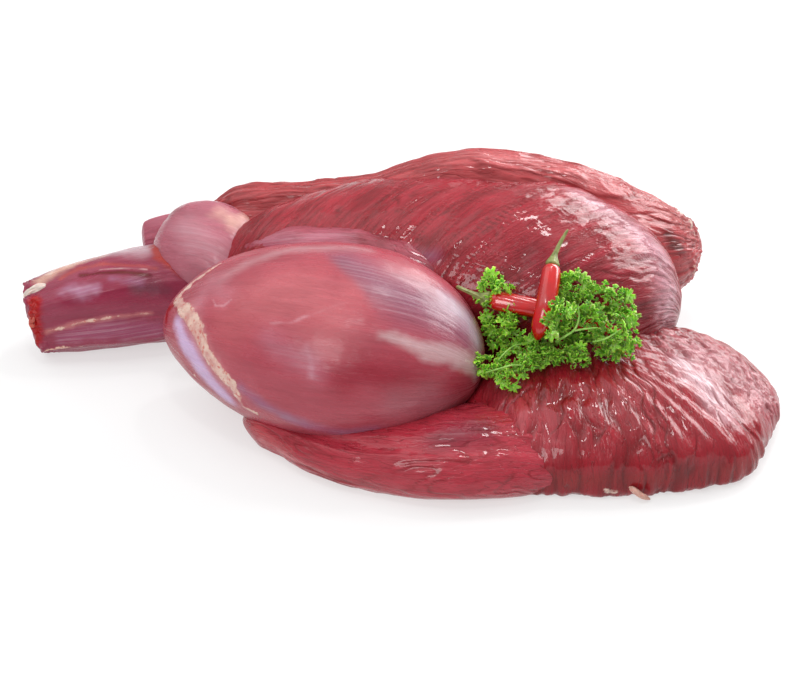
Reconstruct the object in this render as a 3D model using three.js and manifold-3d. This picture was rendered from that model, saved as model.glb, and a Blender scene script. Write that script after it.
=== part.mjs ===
// A boneless venison leg, opened out flat: one piece of meat whose muscles still hang together,
// with a bunch of curly parsley and two red chillies lying on it.
// Millimetres, +Z up, +X away from the shank, +Y away from the viewer. It rests on its flat underside.
import * as THREE from 'three';
import { mergeVertices } from 'three/addons/utils/BufferGeometryUtils.js';
import Module from 'manifold-3d';

const wasm = await Module();
wasm.setup();

// Everything is laid out on a table at z = 0. The finished group is centred over the origin at the end.
// A station of a long form is [x, y, z, half width, half height] of its rounded section there.
// ends is the share of the length over which each end rounds off: 0.5 makes an egg, 0.03 a cut.
// A furrow is [turn, half width, depth]: degrees round the section from the viewer's side over the top,
// then the depth in mm.
const knuckle = {
  stations: [
    [-129, 112, 43, 38, 40],
    [-100, 103, 46, 48, 47],
    [-70, 95, 48, 55, 49],
    [-40, 87, 48, 59, 51],
    [-10, 80, 47, 60, 52],
    [18, 76, 43, 58, 51],
    [42, 73, 38, 54, 46],
  ],
  ends: [0.5, 0.5],
  lump: 0.7,
  facets: [32, 24],
};
const topside = {
  stations: [
    [-106, 150, 36, 28, 35],
    [-66, 160, 42, 37, 43],
    [-22, 165, 46, 49, 49],
    [25, 163, 48, 60, 51],
    [75, 151, 47, 65, 51],
    [118, 142, 41, 57, 43],
    [151, 136, 31, 43, 32],
  ],
  ends: [0.16, 0.24],
  furrows: [[38, 10, 1.6], [57, 9, 1.4], [76, 9, 1.8], [98, 10, 1.5], [122, 10, 1.4]],
  lump: 1.4,
  facets: [36, 27],
};
const backBand = {
  stations: [
    [-126, 197, 31, 19, 31],
    [-88, 197, 38, 24, 41],
    [-48, 191, 42, 27, 44],
    [-10, 189, 46, 30, 47],
    [28, 192, 51, 33, 52],
    [75, 193, 49, 36, 51],
    [122, 190, 41, 35, 43],
    [169, 205, 37, 22, 20],
  ],
  ends: [0.16, 0.08],
  furrows: [[60, 12, 1.5], [96, 12, 1.5]],
  lump: 1.2,
  facets: [22, 24],
};
const frontFlap = {
  stations: [
    [-85, 70, 11, 12, 12],
    [-57, 57, 12, 20, 14],
    [-24, 39, 13, 26, 17],
    [18, 31, 15, 31, 20],
    [60, 34, 15, 32, 21],
    [96, 30, 8, 24, 16],
  ],
  ends: [0.12, 0.2],
  furrows: [[52, 12, 1.6]],
  lump: 0.8,
  facets: [20, 22],
};
const shank = {
  stations: [
    [-209, 154, 20, 20, 20],
    [-186, 157, 25, 24, 24],
    [-160, 162, 28, 27, 27],
    [-130, 168, 30, 29, 28],
    [-96, 168, 32, 30, 28],
  ],
  ends: [0.03, 0.3],
  furrows: [[8, 36, 4.5], [-52, 16, 1.8], [78, 14, 1.4]],
  lump: 0.6,
  facets: [28, 14],
};
const heel = {
  stations: [
    [-126, 203, 52, 20, 20],
    [-113, 183, 52, 24, 24],
    [-99, 164, 45, 25, 25],
    [-86, 146, 35, 22, 22],
  ],
  ends: [0.42, 0.42],
  lump: 0.8,
  facets: [18, 12],
};
const seamStrip = {
  stations: [
    [-88, 146, 72, 9, 9],
    [-54, 143, 77, 11, 11],
    [-20, 137, 79, 11, 11],
    [8, 122, 74, 11, 11],
    [34, 107, 64, 11, 11],
  ],
  ends: [0.3, 0.4],
  lump: 0.6,
  facets: [12, 16],
};
const rearFlap = {
  stations: [
    [-151, 207, 26, 11, 26],
    [-131, 206, 31, 14, 29],
    [-108, 204, 34, 16, 30],
  ],
  ends: [0.05, 0.4],
  lump: 0.5,
  facets: [16, 10],
};
const topLobe = {
  stations: [
    [-86, 206, 64, 9, 9],
    [-71, 206, 68, 11, 10],
    [-55, 204, 69, 9, 9],
  ],
  ends: [0.5, 0.5],
  lump: 0.5,
  facets: [12, 10],
};

// The broad slab spreads out flat from under the parsley. Its folds fan out from its centre to its outline.
const slab = {
  centre: [85, 92],
  outline: [
    [202, 84], [196, 110], [178, 134], [140, 146], [90, 148], [46, 130],
    [26, 92], [30, 46], [56, 11], [88, 10], [122, 10], [154, 15], [178, 24], [193, 52],
  ],
  crown: 48,
  rim: 8,
  under: 16,
  square: 2.5,
  folds: 24,
  foldDepth: 2.2,
  lump: 1.2,
  facets: [66, 18],
};

const gap = 0.3;
// How far round a section the slow unevenness of the meat is read.
const lumpReach = 40;

const chillies = {
  upright: {
    stations: [
      [78, 98, 88.5, 4.7, 4.7],
      [76.5, 88, 84, 5.4, 5.3],
      [73.5, 75, 76, 5.3, 5.2],
      [70.5, 69, 66, 4.4, 4.4],
      [69, 67, 55, 3.2, 3.2],
    ],
    ends: [0.12, 0.4],
    lump: 0.25,
    facets: [12, 12],
  },
  level: {
    stations: [
      [44, 90, 72, 4.9, 4.9],
      [58, 87, 71, 5.3, 5.2],
      [72, 84.5, 69, 5.1, 5],
      [86, 82, 66, 4.7, 4.6],
      [101, 80, 62, 4, 3.9],
      [119, 78, 57, 2.8, 2.8],
    ],
    ends: [0.08, 0.3],
    lump: 0.3,
    facets: [12, 14],
  },
};
const stalks = {
  upright: {
    stations: [
      [77.6, 96, 87.5, 4.9, 4.9],
      [78.7, 101, 90.3, 4.1, 4.1],
      [80.4, 105, 93, 1.6, 1.6],
      [83.4, 110, 96.6, 1, 1],
      [87, 115, 100.5, 0.8, 0.8],
    ],
    ends: [0.14, 0.08],
    facets: [8, 10],
  },
  level: {
    stations: [
      [46, 89.7, 71.8, 5, 5],
      [41.5, 90.4, 72.6, 4.2, 4.2],
      [37.6, 91.6, 74, 1.7, 1.7],
      [33, 93, 75.6, 1.1, 1.1],
      [27.5, 95.5, 77, 1, 1],
    ],
    ends: [0.14, 0.08],
    facets: [8, 10],
  },
};

// Parsley sprigs branch from one root, each a fleshy core with curly leaves set along it, side by side.
const parsley = {
  sprigs: [
    { stem: [[82, 68, 53], [66, 56, 51], [50, 53, 50]], leaves: 5 },
    { stem: [[82, 72, 55], [62, 76, 58], [49, 81, 61]], leaves: 4 },
    { stem: [[81, 69, 55], [91, 72, 68], [102, 79, 71], [109, 86, 69]], leaves: 5 },
    { stem: [[80, 70, 54], [96, 69, 54], [108, 74, 54]], leaves: 5 },
    { stem: [[92, 73, 69], [90, 79, 73], [91, 85, 75]], leaves: 2 },
  ],
  core: { halfWidth: 3.6, halfHeight: 3.2 },
  leaf: { length: 19, spread: 78, thickness: 1.5, curl: 1.8, sideways: 1.1, rise: 0.3, unevenness: 0.6 },
};

function strandShape({ stations, ends, furrows = [], lump = 0, facets }, grow = 0) {
  const spine = curveOf(stations.map((s) => s.slice(0, 3)));
  const sizes = curveOf(stations.map((s) => [s[3] + grow, s[4] + grow, 0]));
  const shape = new THREE.SphereGeometry(1, facets[0], facets[1]);
  const { position, uv } = shape.attributes;
  const up = new THREE.Vector3(0, 0, 1);
  for (let i = 0; i < position.count; i++) {
    const turn = 2 * Math.PI * (uv.getX(i) - 0.25);
    const run = 1 - uv.getY(i);
    const t = 0.6 * run + 0.2 * (1 - Math.cos(Math.PI * run));
    const ring = roundedEnd(t / ends[0]) * roundedEnd((1 - t) / ends[1]);
    const centre = spine.getPoint(t);
    const ahead = spine.getTangent(t);
    const side = new THREE.Vector3().crossVectors(ahead, up).normalize();
    const lift = new THREE.Vector3().crossVectors(side, ahead);
    const size = sizes.getPoint(t);
    const bulge = lump * lumpAt(centre.x + lumpReach * Math.cos(turn), centre.y + lumpReach * Math.sin(turn));
    const dip = furrowDip(furrows, turn) - bulge;
    centre.addScaledVector(side, ring * (size.x - dip) * Math.cos(turn));
    centre.addScaledVector(lift, ring * (size.y - dip) * Math.sin(turn));
    position.setXYZ(i, centre.x, centre.y, centre.z);
  }
  return shape;
}

// The slab's sphere stands on its pole: rings run out from the centre, most of them on the upper face.
function slabShape({ centre, outline, crown, rim, under, square, folds, foldDepth, lump, facets }) {
  const edge = curveOf(outline.map(([x, y]) => [x, y, 0]), true);
  const shape = new THREE.SphereGeometry(1, facets[0], facets[1]);
  const { position, uv } = shape.attributes;
  const upperShare = 0.82;
  for (let i = 0; i < position.count; i++) {
    const down = 1 - uv.getY(i);
    const quarters = down < upperShare ? down / upperShare : 1 + (down - upperShare) / (1 - upperShare);
    const polar = (Math.PI / 2) * quarters;
    const reach = Math.sin(polar) ** (2 / square);
    const height = Math.abs(Math.cos(polar)) ** (2 / square);
    const way = uv.getX(i);
    const out = edge.getPoint(Math.min(Math.max(way, 0), 1) % 1);
    const x = centre[0] + reach * (out.x - centre[0]);
    const y = centre[1] + reach * (out.y - centre[1]);
    const drift = 2 * Math.sin(5 * Math.PI * way);
    const fold = foldDepth * reach * reach * Math.sin(2 * Math.PI * folds * way + drift);
    const top = crown - rim + fold + lump * lumpAt(x, y);
    position.setXYZ(i, x, y, rim + (polar < Math.PI / 2 ? top : -under) * height);
  }
  return shape;
}

// A curly leaf is a thin wavy fan: two sheets split alike, with a wall round their edge.
function leafShape({ x, y, z }, heading, rise, { length, spread, thickness, curl }) {
  const [across, along] = [4, 2];
  const sheet = new THREE.PlaneGeometry(1, 1, across, along);
  const grid = sheet.attributes.position;
  const count = grid.count;
  const points = new Float32Array(count * 6);
  for (let i = 0; i < count; i++) {
    const angle = heading + 2 * grid.getX(i) * THREE.MathUtils.degToRad(spread);
    const share = 0.5 - grid.getY(i);
    const lobe = 1 - 0.1 * share * Math.abs(Math.sin(2 * Math.PI * grid.getX(i)));
    const reach = length * (0.12 + 0.88 * share) * lobe;
    const wave = curl * share * Math.cos(4 * Math.PI * grid.getX(i));
    const height = reach * Math.sin(rise) + wave - length * 0.35 * share * share;
    for (const [face, side] of [[0, 0.5], [count, -0.5]]) {
      points[3 * (i + face)] = x + reach * Math.cos(rise) * Math.cos(angle);
      points[3 * (i + face) + 1] = y + reach * Math.cos(rise) * Math.sin(angle);
      points[3 * (i + face) + 2] = z + height + side * thickness;
    }
  }
  const upper = Array.from(sheet.index.array);
  const corners = [];
  for (let i = 0; i < upper.length; i += 3) {
    corners.push(upper[i], upper[i + 1], upper[i + 2]);
    corners.push(upper[i] + count, upper[i + 2] + count, upper[i + 1] + count);
  }
  const rim = rimOf(across, along);
  rim.forEach((from, i) => {
    const to = rim[(i + 1) % rim.length];
    corners.push(from, to, from + count, to, to + count, from + count);
  });
  const leaf = new THREE.BufferGeometry();
  leaf.setAttribute('position', new THREE.BufferAttribute(points, 3));
  leaf.setIndex(corners);
  return leaf;
}

// The edge of a plane geometry's grid, once round.
function rimOf(across, along) {
  const row = across + 1;
  const rim = [];
  for (let i = 0; i < across; i++) rim.push(i);
  for (let j = 0; j < along; j++) rim.push(j * row + across);
  for (let i = across; i > 0; i--) rim.push(along * row + i);
  for (let j = along; j > 0; j--) rim.push(j * row);
  return rim;
}

function curveOf(points, closed = false) {
  return new THREE.CatmullRomCurve3(points.map((p) => new THREE.Vector3(...p)), closed, 'catmullrom', 0.5);
}

function roundedEnd(share) {
  return share >= 1 ? 1 : Math.sqrt(Math.max(0, 1 - (1 - share) ** 2));
}

function furrowDip(furrows, turn) {
  return furrows.reduce((dip, [at, half, depth]) => {
    const away = Math.abs(THREE.MathUtils.radToDeg(turn) - at) / half;
    return dip + (away < 1 ? depth * Math.cos((away * Math.PI) / 2) : 0);
  }, 0);
}

// Slow unevenness of soft meat, from -1 to 1.
function lumpAt(x, y) {
  return 0.5 * Math.sin(x / 11 + 2 * Math.sin(y / 23)) + 0.5 * Math.sin(y / 9 + 1.5 * Math.sin(x / 17));
}

function seeded(seed) {
  let state = seed;
  return () => {
    state = (state * 16807) % 2147483647;
    return state / 2147483647;
  };
}

function solidOf(shape) {
  const bare = shape.clone();
  bare.deleteAttribute('normal');
  bare.deleteAttribute('uv');
  const merged = mergeVertices(bare, 1e-3);
  const corners = new Uint32Array(merged.index.array);
  const made = (triVerts) => new wasm.Manifold(new wasm.Mesh({
    numProp: 3, vertProperties: merged.attributes.position.array, triVerts,
  }));
  const solid = made(corners);
  return solid.volume() > 0 ? solid : made(corners.map((_, i, all) => all[i - (i % 3) + 2 - (i % 3)]));
}

function shapeOf(solid) {
  const { vertProperties, triVerts } = solid.getMesh();
  const shape = new THREE.BufferGeometry();
  shape.setAttribute('position', new THREE.BufferAttribute(vertProperties, 3));
  shape.setIndex(new THREE.BufferAttribute(triVerts, 1));
  shape.computeVertexNormals();
  return shape;
}

function joined(solids) {
  return solids.reduce((whole, one) => whole.add(one));
}

function largestOf(solid) {
  return solid.decompose().sort((a, b) => b.volume() - a.volume())[0];
}

function meshOf(name, solid, material) {
  const mesh = new THREE.Mesh(shapeOf(solid), material);
  mesh.name = name;
  return mesh;
}

function legSolid() {
  const table = new THREE.BoxGeometry(800, 800, 80);
  table.translate(0, 100, -40);
  const long = [knuckle, topside, backBand, frontFlap, shank, heel, seamStrip, rearFlap, topLobe];
  return joined([...long.map((form) => solidOf(strandShape(form))), solidOf(slabShape(slab))])
    .subtract(solidOf(table));
}

function sprigShapes({ stem, leaves }, random) {
  const { halfWidth, halfHeight } = parsley.core;
  const stations = stem.map((p) => [...p, halfWidth, halfHeight]);
  const core = strandShape({ stations, ends: [0.5, 0.5], facets: [8, 6] });
  const path = curveOf(stem);
  const { sideways, rise, unevenness } = parsley.leaf;
  const shapes = [core];
  for (let i = 0; i < leaves; i++) {
    const t = (i + 0.5) / leaves;
    const ahead = path.getTangent(t);
    const turn = (i % 2 ? 1 : -1) * sideways * (1.2 - t) + unevenness * (random() - 0.5);
    const heading = Math.atan2(ahead.y, ahead.x) + turn;
    shapes.push(leafShape(path.getPoint(t), heading, rise + unevenness * random(), parsley.leaf));
  }
  return shapes;
}

function parsleySolid(leg) {
  const random = seeded(7);
  const sprigs = parsley.sprigs.flatMap((sprig) => sprigShapes(sprig, random));
  const raisedLeg = shapeOf(leg).translate(0, -gap, 1.5 * gap);
  const cutters = [raisedLeg, ...Object.values(chillies).map((pod) => strandShape(pod, gap)),
    ...Object.values(stalks).map((stalk) => strandShape(stalk, gap))];
  return largestOf(joined(sprigs.map(solidOf)).subtract(joined(cutters.map(solidOf))));
}

function stalkSolid(stalk, pod) {
  return largestOf(solidOf(strandShape(stalk)).subtract(solidOf(strandShape(pod, gap))));
}

const materials = {
  meat: new THREE.MeshStandardMaterial({ color: 0x9c3d44, roughness: 0.35 }),
  chilli: new THREE.MeshStandardMaterial({ color: 0xc8141c, roughness: 0.2 }),
  stalk: new THREE.MeshStandardMaterial({ color: 0x7d8a45, roughness: 0.55 }),
  parsley: new THREE.MeshStandardMaterial({ color: 0x4a9a2c, roughness: 0.5 }),
};

const leg = legSolid();
const group = new THREE.Group();
group.add(meshOf('venison_leg', leg, materials.meat));
for (const name of Object.keys(chillies)) {
  group.add(meshOf(`chilli_${name}`, solidOf(strandShape(chillies[name])), materials.chilli));
  group.add(meshOf(`chilli_stalk_${name}`, stalkSolid(stalks[name], chillies[name]), materials.stalk));
}
group.add(meshOf('parsley', parsleySolid(leg), materials.parsley));

const bounds = new THREE.Box3().setFromObject(group);
const middle = bounds.getCenter(new THREE.Vector3());
group.position.set(-middle.x, -middle.y, -bounds.min.z);

export default group;
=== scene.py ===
# Looks of the boneless venison leg with its parsley and chilli garnish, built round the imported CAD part.
# Sizes are in mm in the design frame: x right, y away from the viewer, z up from the table.
import math
import bmesh
import bpy
import numpy as np
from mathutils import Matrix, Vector


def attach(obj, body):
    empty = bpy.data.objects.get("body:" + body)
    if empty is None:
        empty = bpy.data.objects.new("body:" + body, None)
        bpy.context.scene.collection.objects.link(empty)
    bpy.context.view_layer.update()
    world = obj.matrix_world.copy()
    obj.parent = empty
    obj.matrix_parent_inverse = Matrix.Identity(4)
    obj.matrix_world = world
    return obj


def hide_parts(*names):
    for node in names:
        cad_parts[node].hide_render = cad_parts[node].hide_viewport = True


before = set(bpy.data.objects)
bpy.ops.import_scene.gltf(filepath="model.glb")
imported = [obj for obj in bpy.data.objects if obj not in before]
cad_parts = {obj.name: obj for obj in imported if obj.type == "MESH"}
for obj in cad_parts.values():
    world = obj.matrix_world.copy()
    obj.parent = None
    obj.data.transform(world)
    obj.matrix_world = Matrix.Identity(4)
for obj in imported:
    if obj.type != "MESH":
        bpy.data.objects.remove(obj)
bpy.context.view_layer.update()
scene = bpy.context.scene
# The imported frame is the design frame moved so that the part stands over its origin.
packedShift = np.array([4.167, -113.636, 0.0])
# Odd numbers that scatter the cells of noiseAt.
cellSteps = np.array([73856093, 19349663, 83492791])
seedStep = 374761393
mixStep = 1274126177


def noiseAt(points, seed):
    # Smooth gradient noise, about -1 to 1, with one cell to a unit.
    cell = np.floor(points).astype(np.int64)
    within = points - cell
    ease = within ** 3 * (within * (within * 6 - 15) + 10)
    total = np.zeros(len(points))
    for corner in range(8):
        step = np.array([corner & 1, corner >> 1 & 1, corner >> 2 & 1])
        mixed = ((cell + step) * cellSteps).sum(1) + seed * seedStep
        mixed = (mixed ^ (mixed >> 13)) * mixStep
        mixed = mixed ^ (mixed >> 16)
        slope = np.stack([(mixed >> byte & 255) / 127.5 - 1 for byte in (0, 8, 16)], 1)
        share = np.prod(np.where(step == 1, ease, 1 - ease), axis=1)
        total += share * ((within - step) * slope).sum(1)
    return total * 1.3


def smooth(value):
    held = np.clip(value, 0, 1)
    return held * held * (3 - 2 * held)


def linearColour(colour):
    share = np.array(colour, float) / 255
    return np.where(share <= 0.04045, share / 12.92, ((share + 0.055) / 1.055) ** 2.4)


def splineAt(points, share, closed=False):
    # Catmull-Rom curve through the points, spread evenly over share 0 to 1.
    points = np.array(points, float)
    count = len(points)
    if closed:
        place = np.mod(share, 1) * count
        first = np.floor(place).astype(int)
        before, start, end, after = (points[(first + k) % count] for k in (-1, 0, 1, 2))
    else:
        padded = np.vstack([2 * points[0] - points[1], points, 2 * points[-1] - points[-2]])
        place = np.clip(share, 0, 1) * (count - 1)
        first = np.minimum(place.astype(int), count - 2)
        before, start, end, after = (padded[first + k] for k in (0, 1, 2, 3))
    along = (place - first)[:, None]
    leave, arrive = (end - before) / 2, (after - start) / 2
    cubic = (2 * start - 2 * end + leave + arrive) * along ** 3
    return cubic + (3 * end - 3 * start - 2 * leave - arrive) * along ** 2 + leave * along + start


def roundedEnd(share):
    return np.where(share >= 1, 1.0, np.sqrt(np.clip(1 - (1 - share) ** 2, 0, 1)))


def lumpAt(x, y):
    return 0.5 * np.sin(x / 11 + 2 * np.sin(y / 23)) + 0.5 * np.sin(y / 9 + 1.5 * np.sin(x / 17))


def unit(vectors):
    return vectors / np.maximum(np.linalg.norm(vectors, axis=1, keepdims=True), 1e-9)


def trailDistance(points, trail, reach):
    # Distance in mm outside a trail, whose points may give their own reach as a fourth value.
    trail = np.array([[*place, reach][:4] for place in trail], float)
    nearest = np.linalg.norm(points - trail[0, :3], axis=1) - trail[0, 3]
    for start, end in zip(trail[:-1], trail[1:]):
        leg = end[:3] - start[:3]
        share = np.clip((points - start[:3]) @ leg / (leg @ leg), 0, 1)
        away = np.linalg.norm(points - start[:3] - share[:, None] * leg, axis=1)
        nearest = np.minimum(nearest, away - start[3] - share * (end[3] - start[3]))
    return nearest


def ballMesh(name, around, along):
    # A closed ball whose points know their share of the way from pole to pole and their turn round the axis.
    grid = bmesh.new()
    bmesh.ops.create_grid(grid, x_segments=around, y_segments=along, size=1)
    mesh = bpy.data.meshes.new(name)
    grid.to_mesh(mesh)
    grid.free()
    flat = placesOf(mesh)
    turn = np.pi * flat[:, 0]
    polar = np.pi * (1 - flat[:, 1]) / 2
    ball = np.stack([np.sin(polar) * np.cos(turn), np.sin(polar) * np.sin(turn), np.cos(polar)], 1)
    mesh.vertices.foreach_set("co", ball.astype(np.float32).ravel())
    closed = bmesh.new()
    closed.from_mesh(mesh)
    bmesh.ops.remove_doubles(closed, verts=closed.verts, dist=1e-6)
    closed.to_mesh(mesh)
    closed.free()
    places = placesOf(mesh)
    run = np.arccos(np.clip(places[:, 2], -1, 1)) / np.pi
    return mesh, run, np.arctan2(places[:, 1], places[:, 0])


def placesOf(mesh):
    places = np.empty(len(mesh.vertices) * 3)
    mesh.vertices.foreach_get("co", places)
    return places.reshape(-1, 3)


def setPlaces(mesh, points):
    mesh.vertices.foreach_set("co", ((points + packedShift) / 1000).astype(np.float32).ravel())
    mesh.update()


def normalsOf(mesh):
    normals = np.empty(len(mesh.vertices) * 3, np.float32)
    mesh.vertex_normals.foreach_get("vector", normals)
    return normals.reshape(-1, 3).astype(float)


def strandSurface(form, run, turn):
    # Points of a muscle with its grain coordinates: along, then two across.
    # It follows its stations of x, y, z, half width and half height.
    stations = np.array(form["stations"], float)
    share = 0.6 * run + 0.2 * (1 - np.cos(np.pi * run))
    now = splineAt(stations, share)
    spine = stations[:, :3]
    ahead = unit(splineAt(spine, share + 0.002) - splineAt(spine, share - 0.002))
    side = unit(np.cross(ahead, [0.0, 0.0, 1.0]))
    lift = np.cross(side, ahead)
    ends = form["ends"]
    ring = roundedEnd(share / ends[0]) * roundedEnd((1 - share) / ends[1])
    reach = 40 * np.cos(turn)
    dip = -form.get("lump", 0) * lumpAt(now[:, 0] + reach, now[:, 1] + 40 * np.sin(turn))
    for at, half, depth in form.get("furrows", ()):
        away = np.abs(np.degrees(turn) - at) / half
        dip = dip + np.where(away < 1, depth * np.cos(away * np.pi / 2), 0)
    points = now[:, :3] + (ring * (now[:, 3] - dip) * np.cos(turn))[:, None] * side
    points = points + (ring * (now[:, 4] - dip) * np.sin(turn))[:, None] * lift
    fine = np.linspace(0, 1, 200)
    path = splineAt(spine, fine)
    length = np.concatenate([[0], np.cumsum(np.linalg.norm(np.diff(path, axis=0), axis=1))])
    arc = np.interp(share, fine, length)
    girth = stations[:, 3:5].mean()
    lean = turn - form.get("twist", 0) * arc / girth
    grain = np.stack([arc, girth * np.cos(lean), girth * np.sin(lean)], 1)
    return points, grain


def slabSurface(form, run, turn):
    way = np.mod(turn / (2 * np.pi), 1)
    upper = form["upperShare"]
    quarters = np.where(run < upper, run / upper, 1 + (run - upper) / (1 - upper))
    polar = np.pi / 2 * quarters
    square = splineAt([[value] for value in form["squares"]], way, closed=True)[:, 0]
    reach = np.sin(polar) ** (2 / square)
    height = np.abs(np.cos(polar)) ** (2 / square)
    out = splineAt(form["outline"], way, closed=True)
    centre = np.array(form["centre"], float)
    flat = centre + reach[:, None] * (out - centre)
    drift = 2 * np.sin(5 * np.pi * way)
    fold = form["foldDepth"] * reach ** 2 * np.sin(2 * np.pi * form["folds"] * way + drift)
    top = form["crown"] - form["rim"] + fold + form["lump"] * lumpAt(flat[:, 0], flat[:, 1])
    top = top * (1 - form["slope"] * reach ** 2)
    z = form["rim"] + np.where(quarters < 1, top, -form["under"]) * height
    # The fibres fan out from a point under the topside, and run down over the rim.
    spread = flat - np.array(form["fan"], float)
    heading = np.arctan2(spread[:, 1], spread[:, 0])
    distance = np.linalg.norm(spread, axis=1) - 0.8 * z
    grain = np.stack([distance, form["fanReach"] * np.cos(heading), form["fanReach"] * np.sin(heading)], 1)
    return np.column_stack([flat, z]), grain


def swayed(grain, sway, cell, seed):
    # The grain coordinates, bent sideways a little so that no line runs straight.
    bend = [np.zeros(len(grain)), noiseAt(grain / cell, seed), noiseAt(grain / cell, seed + 1)]
    return grain + sway * np.stack(bend, 1)


def valleys(grain, spacing, length, width, sway, seed):
    # Thin winding valleys between bundles of fibre: 1 in a valley, 0 away from it.
    value = noiseAt(swayed(grain, sway, 26, seed + 50) / np.array([length, spacing, spacing]), seed)
    return np.exp(-(value / width) ** 2)


def terraces(grain, spacing, length, step, sway, seed):
    # Layers of fibre that overlap: a slow rise, then a sharp drop with a line of painted shade at its foot.
    value = noiseAt(swayed(grain, sway, 22, seed + 60) / np.array([length, spacing, spacing]), seed) / step
    part = value - np.floor(value)
    rise = np.where(part < 0.86, part / 0.86, (1 - part) / 0.14)
    foot = np.exp(-(np.minimum(part, 1 - part) / 0.09) ** 2)
    return rise - 0.5, foot


def addAttribute(mesh, name, kind, values):
    made = mesh.attributes.new(name, kind, "POINT")
    if kind == "FLOAT_COLOR":
        values = np.column_stack([values, np.ones(len(values))])
        made.data.foreach_set("color", values.astype(np.float32).ravel())
    elif kind == "FLOAT_VECTOR":
        made.data.foreach_set("vector", values.astype(np.float32).ravel())
    else:
        made.data.foreach_set("value", values.astype(np.float32))


# Painted colours are as seen in the studio: the surface has less of each channel, as the shine adds white.
seenToSurface = 0.84
shineShare = 0.02
wrinkleHeight = 1.05


def stroke(colour, trail, **rest):
    # Colour along a trail. The rest is reach, soft and ragged in mm, share, film and edge.
    return {"colour": colour, "trail": trail, **rest}


def fatAt(tone, trail):
    # Fat or tendon, from cream (0) to white (1).
    return {"tone": tone, "trail": trail}


def wetAt(share, trail, soft=8, ragged=4):
    # Wet, finely wrinkled surface that glints.
    return {"crinkle": share, "trail": trail, "soft": soft, "ragged": ragged}


def paintOn(points, base, patches, seed):
    # Base colour with patches laid over it along trails, each with a soft ragged edge.
    colour = np.tile(linearColour(base), (len(points), 1))
    film = np.zeros(len(points))
    fat = np.full(len(points), 9.0)
    fatTone = np.zeros(len(points))
    crinkle = np.zeros(len(points))
    wander = noiseAt(points / 9, seed + 20) + 0.6 * noiseAt(points / 3.5, seed + 21)
    for patch in patches:
        away = trailDistance(points, patch["trail"], patch.get("reach", 3))
        if "tone" in patch:
            # Fat and tendon: the material draws their torn edge from this distance.
            fatTone = np.where(away < fat, patch["tone"], fatTone)
            fat = np.minimum(fat, away)
            continue
        away = away + patch.get("ragged", 1.5) * wander
        soft = patch.get("soft", 4)
        if "crinkle" in patch:
            crinkle = np.maximum(crinkle, smooth((soft - away) / (2 * soft)) * patch["crinkle"])
            continue
        weight = smooth((soft - away) / (2 * soft)) * patch.get("share", 1)
        if "edge" in patch:
            across = np.interp(points[:, 1], patch["edge"][0], patch["edge"][1])
            weight = weight * smooth((points[:, 0] - across + wander) / patch["edgeSoft"] + 0.5)
        colour += weight[:, None] * (linearColour(patch["colour"]) - colour)
        film = film + weight * (patch.get("film", 0) - film)
    return np.maximum(colour * seenToSurface - shineShare, 0.004), film, fat, fatTone, crinkle


def finishPiece(mesh, name, material, nodes):
    mesh.shade_smooth()
    mesh.materials.append(material)
    piece = bpy.data.objects.new(name, mesh)
    scene.collection.objects.link(piece)
    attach(piece, "root")
    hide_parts(*nodes)


def tornEdge(points, grain, form, band):
    # Height of the ragged edge of a piece: the slab's pleated rim, or the end of a strand.
    seed = form["seed"]
    rough = noiseAt(points / 3.6, seed + 30) + 0.6 * noiseAt(points / 1.9, seed + 31)
    if "outline" in form:
        # Pleats hang down the rim, and its lower edge is torn in places.
        pleat = noiseAt(points / [9, 9, 60], seed + 32)
        pleat = pleat + 0.5 * noiseAt(points / [4, 4, 30], seed + 33)
        height = band["pleat"] * pleat * smooth((26 - points[:, 2]) / 16)
        torn = 0.3 + 0.7 * smooth(2 * noiseAt(points / 14, seed + 34))
        return height + band["depth"] * rough * smooth((band["to"] - points[:, 2]) / 5) * torn
    if band.get("start"):
        return band["depth"] * rough * smooth((band["to"] - grain[:, 0]) / 6)
    return band["depth"] * rough * smooth((grain[:, 0] - grain[:, 0].max() + band["to"]) / 6)


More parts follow.
